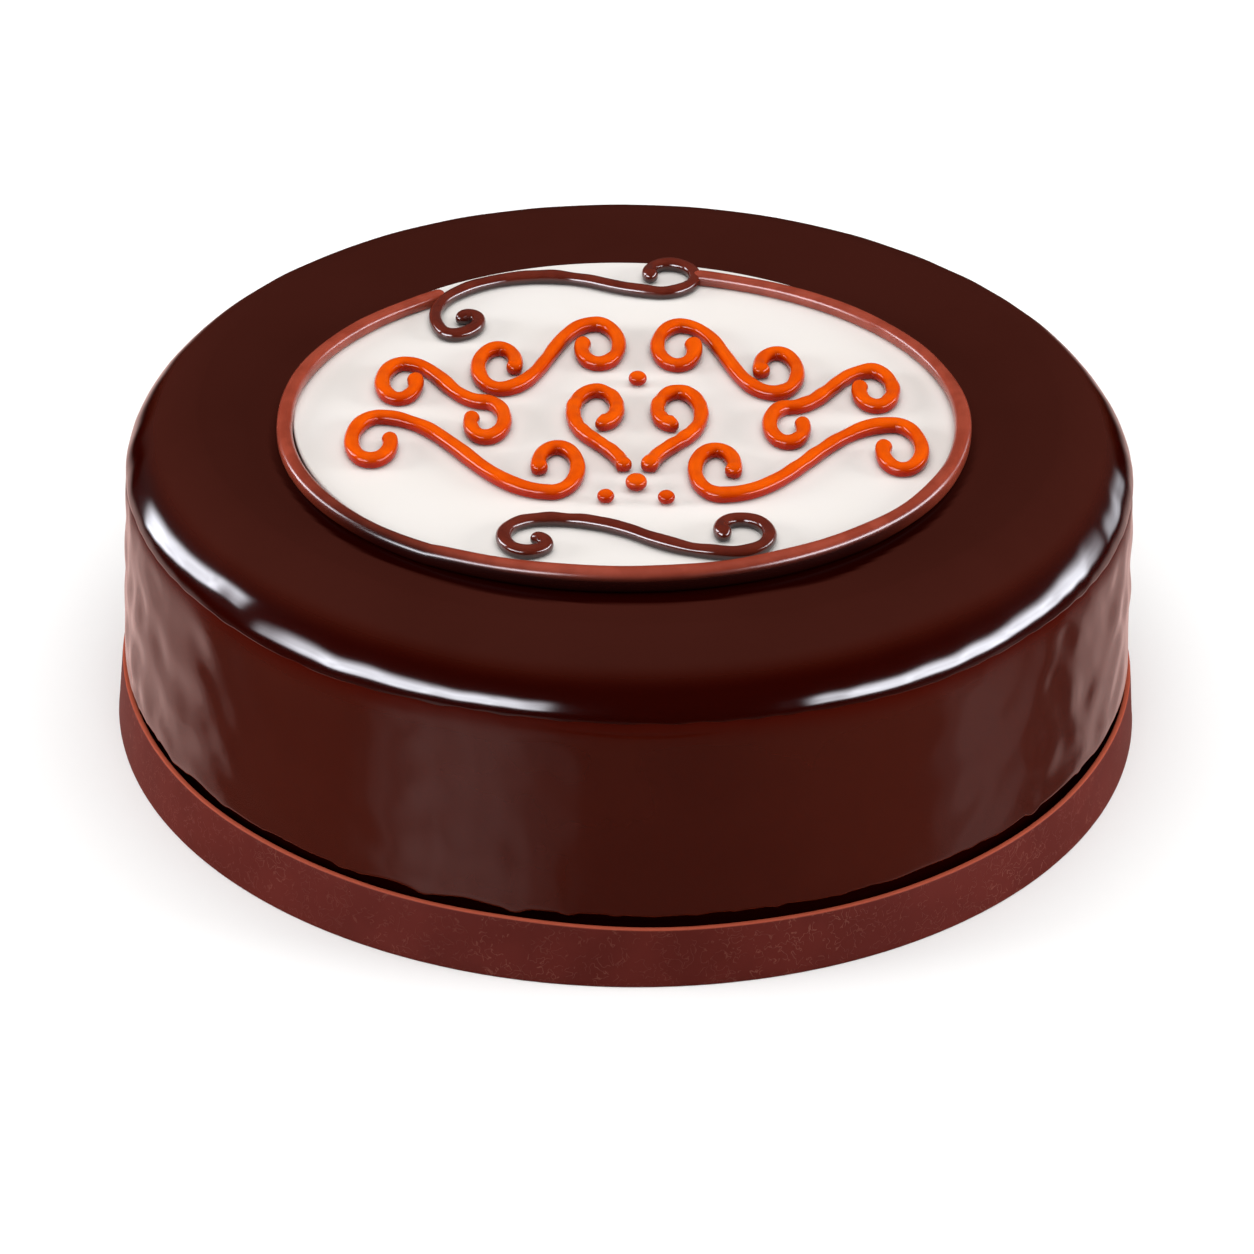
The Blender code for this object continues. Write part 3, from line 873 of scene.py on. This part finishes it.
# Pearl: a ball squashed in height with a flattened foot, turned round its own middle
def pearl(name, x, y, radius, material):
    shape = pearlShape
    around = np.linspace(0.0, turn, shape["sides"], endpoint=False)[None, :]
    tilt = np.linspace(0.0, np.pi, 16)[1:-1, None]
    centre = plaqueHigh.z + radius * shape["squash"] * 0.95
    flat = radius * np.sin(tilt) * np.ones_like(around)
    rise = radius * shape["squash"] * np.cos(tilt) * np.ones_like(around)
    grid = np.stack([x + flat * np.cos(around), y + flat * np.sin(around), centre + rise], axis=-1)
    reach = radius * shape["squash"]
    piece = skinOver(name + "_piped", grid, (x, y, centre + reach), (x, y, centre - reach), material)
    return placeFor(piece, name)


def orangePiping():
    material = pipingMaterial("orangePiping", orangeLook)
    seed = 60
    for name, route in flourishRoutes().items():
        for side, hand in (("right", 1.0), ("left", -1.0)):
            seed += 1
            bead = pipedBead(name + "_piped_" + side, onPlaque(route, hand), flourishShape["radius"],
                             plaqueHigh.z, seed, material)
            placeFor(bead, name + "_" + side)
    for name, drawn, radius in pearls:
        x, y = onPlaque(drawn, 1.0)
        pearl(name, x, y, radius, material)


orangePiping()
print("flourishes made")


# ---- stage, light and camera

stageLook = {
    "floorColour": (0.90, 0.90, 0.90),
    "floorSize": 2.6,
    "keyPower": 57.0,
    "keySize": 3.2,
    "keyPlace": (0.0, 0.0, 2.0),
    "fillPower": 17.0,
    "fillSize": 2.2,
    "fillPlace": (0.0, -2.0, 1.3),
    "sidePower": 42.0,
    "sideSize": 1.2,
    "sidePlace": (2.0, -0.17, 0.45),
}


def plainFloor():
    look = stageLook
    half = look["floorSize"] / 2.0
    mesh = bpy.data.meshes.new("floor")
    corners = [(-half, -half, 0.0), (half, -half, 0.0), (half, half, 0.0), (-half, half, 0.0)]
    mesh.from_pydata(corners, [], [(0, 1, 2, 3)])
    material, tree, shader, place = startMaterial("paleFloor", Roughness=0.9)
    shader.inputs["Base Color"].default_value = (*look["floorColour"], 1.0)
    shader.inputs["Specular IOR Level"].default_value = 0.0
    mesh.materials.append(material)
    floor = bpy.data.objects.new("floor", mesh)
    bpy.context.scene.collection.objects.link(floor)
    floor.visible_glossy = False


def softLight(name, place, size, power, colour):
    data = bpy.data.lights.new(name, "AREA")
    data.shape = "DISK"
    data.size = size
    data.energy = power
    data.color = colour
    light = bpy.data.objects.new(name, data)
    bpy.context.scene.collection.objects.link(light)
    back = np.array(place) / np.linalg.norm(place)
    side = np.cross((0.0, 1.0, 0.0) if abs(back[2]) > 0.9 else (0.0, 0.0, 1.0), back)
    side = side / np.linalg.norm(side)
    up = np.cross(back, side)
    light.matrix_world = Matrix(((side[0], up[0], back[0], place[0]),
                                 (side[1], up[1], back[1], place[1]),
                                 (side[2], up[2], back[2], place[2]),
                                 (0.0, 0.0, 0.0, 1.0)))
    light.visible_glossy = False
    return light


# Soft panels seen by the gloss only, as level = sum of panels over the direction;
# elevation = asin(z), azimuth = atan2(x, -y), both in degrees; a panel is a product of four
# smooth steps, its elevation leaning by the given degrees for each degree of azimuth
coolWhite = (0.90, 0.92, 1.0)
duskyPink = (1.0, 0.72, 0.70)
warmBrown = (1.0, 0.66, 0.61)
panelKeys = ("fromAzimuth", "toAzimuth", "softAzimuth", "fromRise", "toRise", "softRise", "lean", "level", "tint")
highPanels = [
    (-127.0, -95.0, 4.0, 0.5, 14.5, 3.0, 0.66, 24.0, coolWhite),
    (-76.0, -19.0, 8.0, 3.0, 19.0, 4.5, 0.10, 22.0, coolWhite),
    (43.0, 118.0, 8.0, -3.0, 12.0, 4.0, -0.03, 22.0, coolWhite),
    (129.0, 138.0, 3.0, -8.0, 2.0, 3.0, 0.0, 7.0, coolWhite),
]
lowPanels = [
    (-190.0, -108.0, 9.0, -72.0, -16.0, 4.0, 0.0, 0.76, warmBrown),
    (-52.0, -20.0, 12.0, -60.0, -16.0, 3.0, 0.0, 0.54, duskyPink),
    (76.0, 96.0, 13.0, -60.0, -16.0, 3.0, 0.0, 0.38, duskyPink),
    (119.0, 190.0, 8.0, -64.0, -16.0, 4.0, 0.0, 0.66, warmBrown),
]
worldLook = {
    "cameraLevel": 0.98,
    "aboveBack": 0.060,
    "aboveFront": 0.004,
    "aboveColour": (1.0, 0.96, 0.94),
    "below": 0.11,
    "belowColour": (1.0, 0.62, 0.56),
    "unevenness": 0.55,
    "sideShare": 0.5,            # strength left in the high panels towards the back
    "azimuthWander": 26.0,       # degrees by which the low panels' edges wander
}


# smooth steps in azimuth and elevation multiplied together, times the level
def panelLevel(tree, panel, azimuth, elevation):
    middle = (panel["fromAzimuth"] + panel["toAzimuth"]) / 2.0
    leaning = mathNode(tree, "MULTIPLY", mathNode(tree, "SUBTRACT", azimuth, middle), panel["lean"])
    rise = mathNode(tree, "SUBTRACT", elevation, leaning)
    softAzimuth = panel["softAzimuth"]
    softRise = panel["softRise"]
    share = smoothNode(tree, azimuth, panel["fromAzimuth"] - softAzimuth, panel["fromAzimuth"] + softAzimuth)
    for value, edge, soft in ((azimuth, panel["toAzimuth"], -softAzimuth),
                              (rise, panel["fromRise"], 0.6 * softRise),
                              (rise, panel["toRise"], -1.3 * softRise)):
        share = mathNode(tree, "MULTIPLY", share, smoothNode(tree, value, edge - soft, edge + soft))
    return mathNode(tree, "MULTIPLY", share, panel["level"])


def studioWorld():
    world = bpy.data.worlds.new("studio")
    bpy.context.scene.world = world
    world.use_nodes = True
    tree = world.node_tree
    background = tree.nodes["Background"]
    direction = addNode(tree, "ShaderNodeTexCoord").outputs["Generated"]
    parts = addNode(tree, "ShaderNodeSeparateXYZ")
    tree.links.new(direction, parts.inputs[0])
    toDegrees = 180.0 / np.pi
    elevation = mathNode(tree, "MULTIPLY", mathNode(tree, "ARCSINE", parts.outputs[2]), toDegrees)
    forward = mathNode(tree, "MULTIPLY", parts.outputs[1], -1.0)
    azimuth = mathNode(tree, "MULTIPLY", mathNode(tree, "ARCTAN2", parts.outputs[0], forward), toDegrees)
    look = worldLook
    # above: dark in front, a little light behind; below: dim, and dark straight down
    backness = smoothNode(tree, parts.outputs[1], -0.5, 0.5)
    above = mathNode(tree, "MULTIPLY_ADD", backness, look["aboveBack"], look["aboveFront"])
    isAbove = smoothNode(tree, elevation, -4.0, 4.0)
    below = mathNode(tree, "MULTIPLY", smoothNode(tree, elevation, -75.0, -45.0), look["below"])
    below = mathNode(tree, "MULTIPLY", smoothNode(tree, elevation, -12.0, -19.0), below)
    aboveGlow = mixColour(tree, 1.0, look["aboveColour"], above, "MULTIPLY")
    belowGlow = mixColour(tree, 1.0, look["belowColour"], below, "MULTIPLY")
    colour = mixColour(tree, isAbove, belowGlow, aboveGlow)
    patchy = addNode(tree, "ShaderNodeTexNoise")
    feed(tree, patchy, Vector=direction, Scale=12.0, Detail=3.0)
    offMiddle = mathNode(tree, "SUBTRACT", patchy.outputs[0], 0.5)
    patchiness = mathNode(tree, "MULTIPLY_ADD", offMiddle, 2.0 * look["unevenness"], 1.0)
    wandering = mathNode(tree, "MULTIPLY_ADD", offMiddle, look["azimuthWander"], azimuth)
    backFade = smoothNode(tree, mathNode(tree, "ABSOLUTE", azimuth), 70.0, 125.0)
    backShare = mathNode(tree, "MULTIPLY_ADD", backFade, look["sideShare"] - 1.0, 1.0)
    for values in highPanels + lowPanels:
        panel = dict(zip(panelKeys, values))
        high = values in highPanels
        level = panelLevel(tree, panel, azimuth if high else wandering, elevation)
        level = mathNode(tree, "MULTIPLY", level, patchiness)
        level = mathNode(tree, "MULTIPLY", level, backShare) if high else level
        glow = mixColour(tree, 1.0, panel["tint"], level, "MULTIPLY")
        colour = mixColour(tree, 1.0, colour, glow, "ADD")
    seen = addNode(tree, "ShaderNodeLightPath").outputs["Is Camera Ray"]
    plain = (look["cameraLevel"],) * 3
    tree.links.new(mixColour(tree, seen, colour, plain), background.inputs["Color"])
    world.cycles_visibility.diffuse = False


cameraSet = {
    "place": (0.0, -0.88261, 0.55814),
    "downward": 31.5,            # degrees below the horizon
    "roll": 0.94,                # degrees
    "lens": 126.55,
}


def makeCamera():
    data = bpy.data.cameras.new("camera")
    data.lens = cameraSet["lens"]
    data.sensor_width = 36.0
    camera = bpy.data.objects.new("camera", data)
    bpy.context.scene.collection.objects.link(camera)
    tilt = Matrix.Rotation(np.radians(90.0 - cameraSet["downward"]), 4, "X")
    roll = Matrix.Rotation(np.radians(cameraSet["roll"]), 4, "Z")
    camera.matrix_world = Matrix.Translation(cameraSet["place"]) @ tilt @ roll
    bpy.context.scene.camera = camera


plainFloor()
softLight("keyLight", stageLook["keyPlace"], stageLook["keySize"], stageLook["keyPower"], (1.0, 0.99, 0.98))
softLight("fillLight", stageLook["fillPlace"], stageLook["fillSize"], stageLook["fillPower"], (1.0, 1.0, 1.0))
sideX, sideY, sideZ = stageLook["sidePlace"]
softLight("leftLight", (-sideX, sideY, sideZ), stageLook["sideSize"], stageLook["sidePower"], (1.0, 1.0, 1.0))
softLight("rightLight", (sideX, sideY, sideZ), stageLook["sideSize"], stageLook["sidePower"], (1.0, 1.0, 1.0))
studioWorld()
makeCamera()
bpy.context.scene.view_settings.view_transform = "Standard"
print("stage, light and camera made")
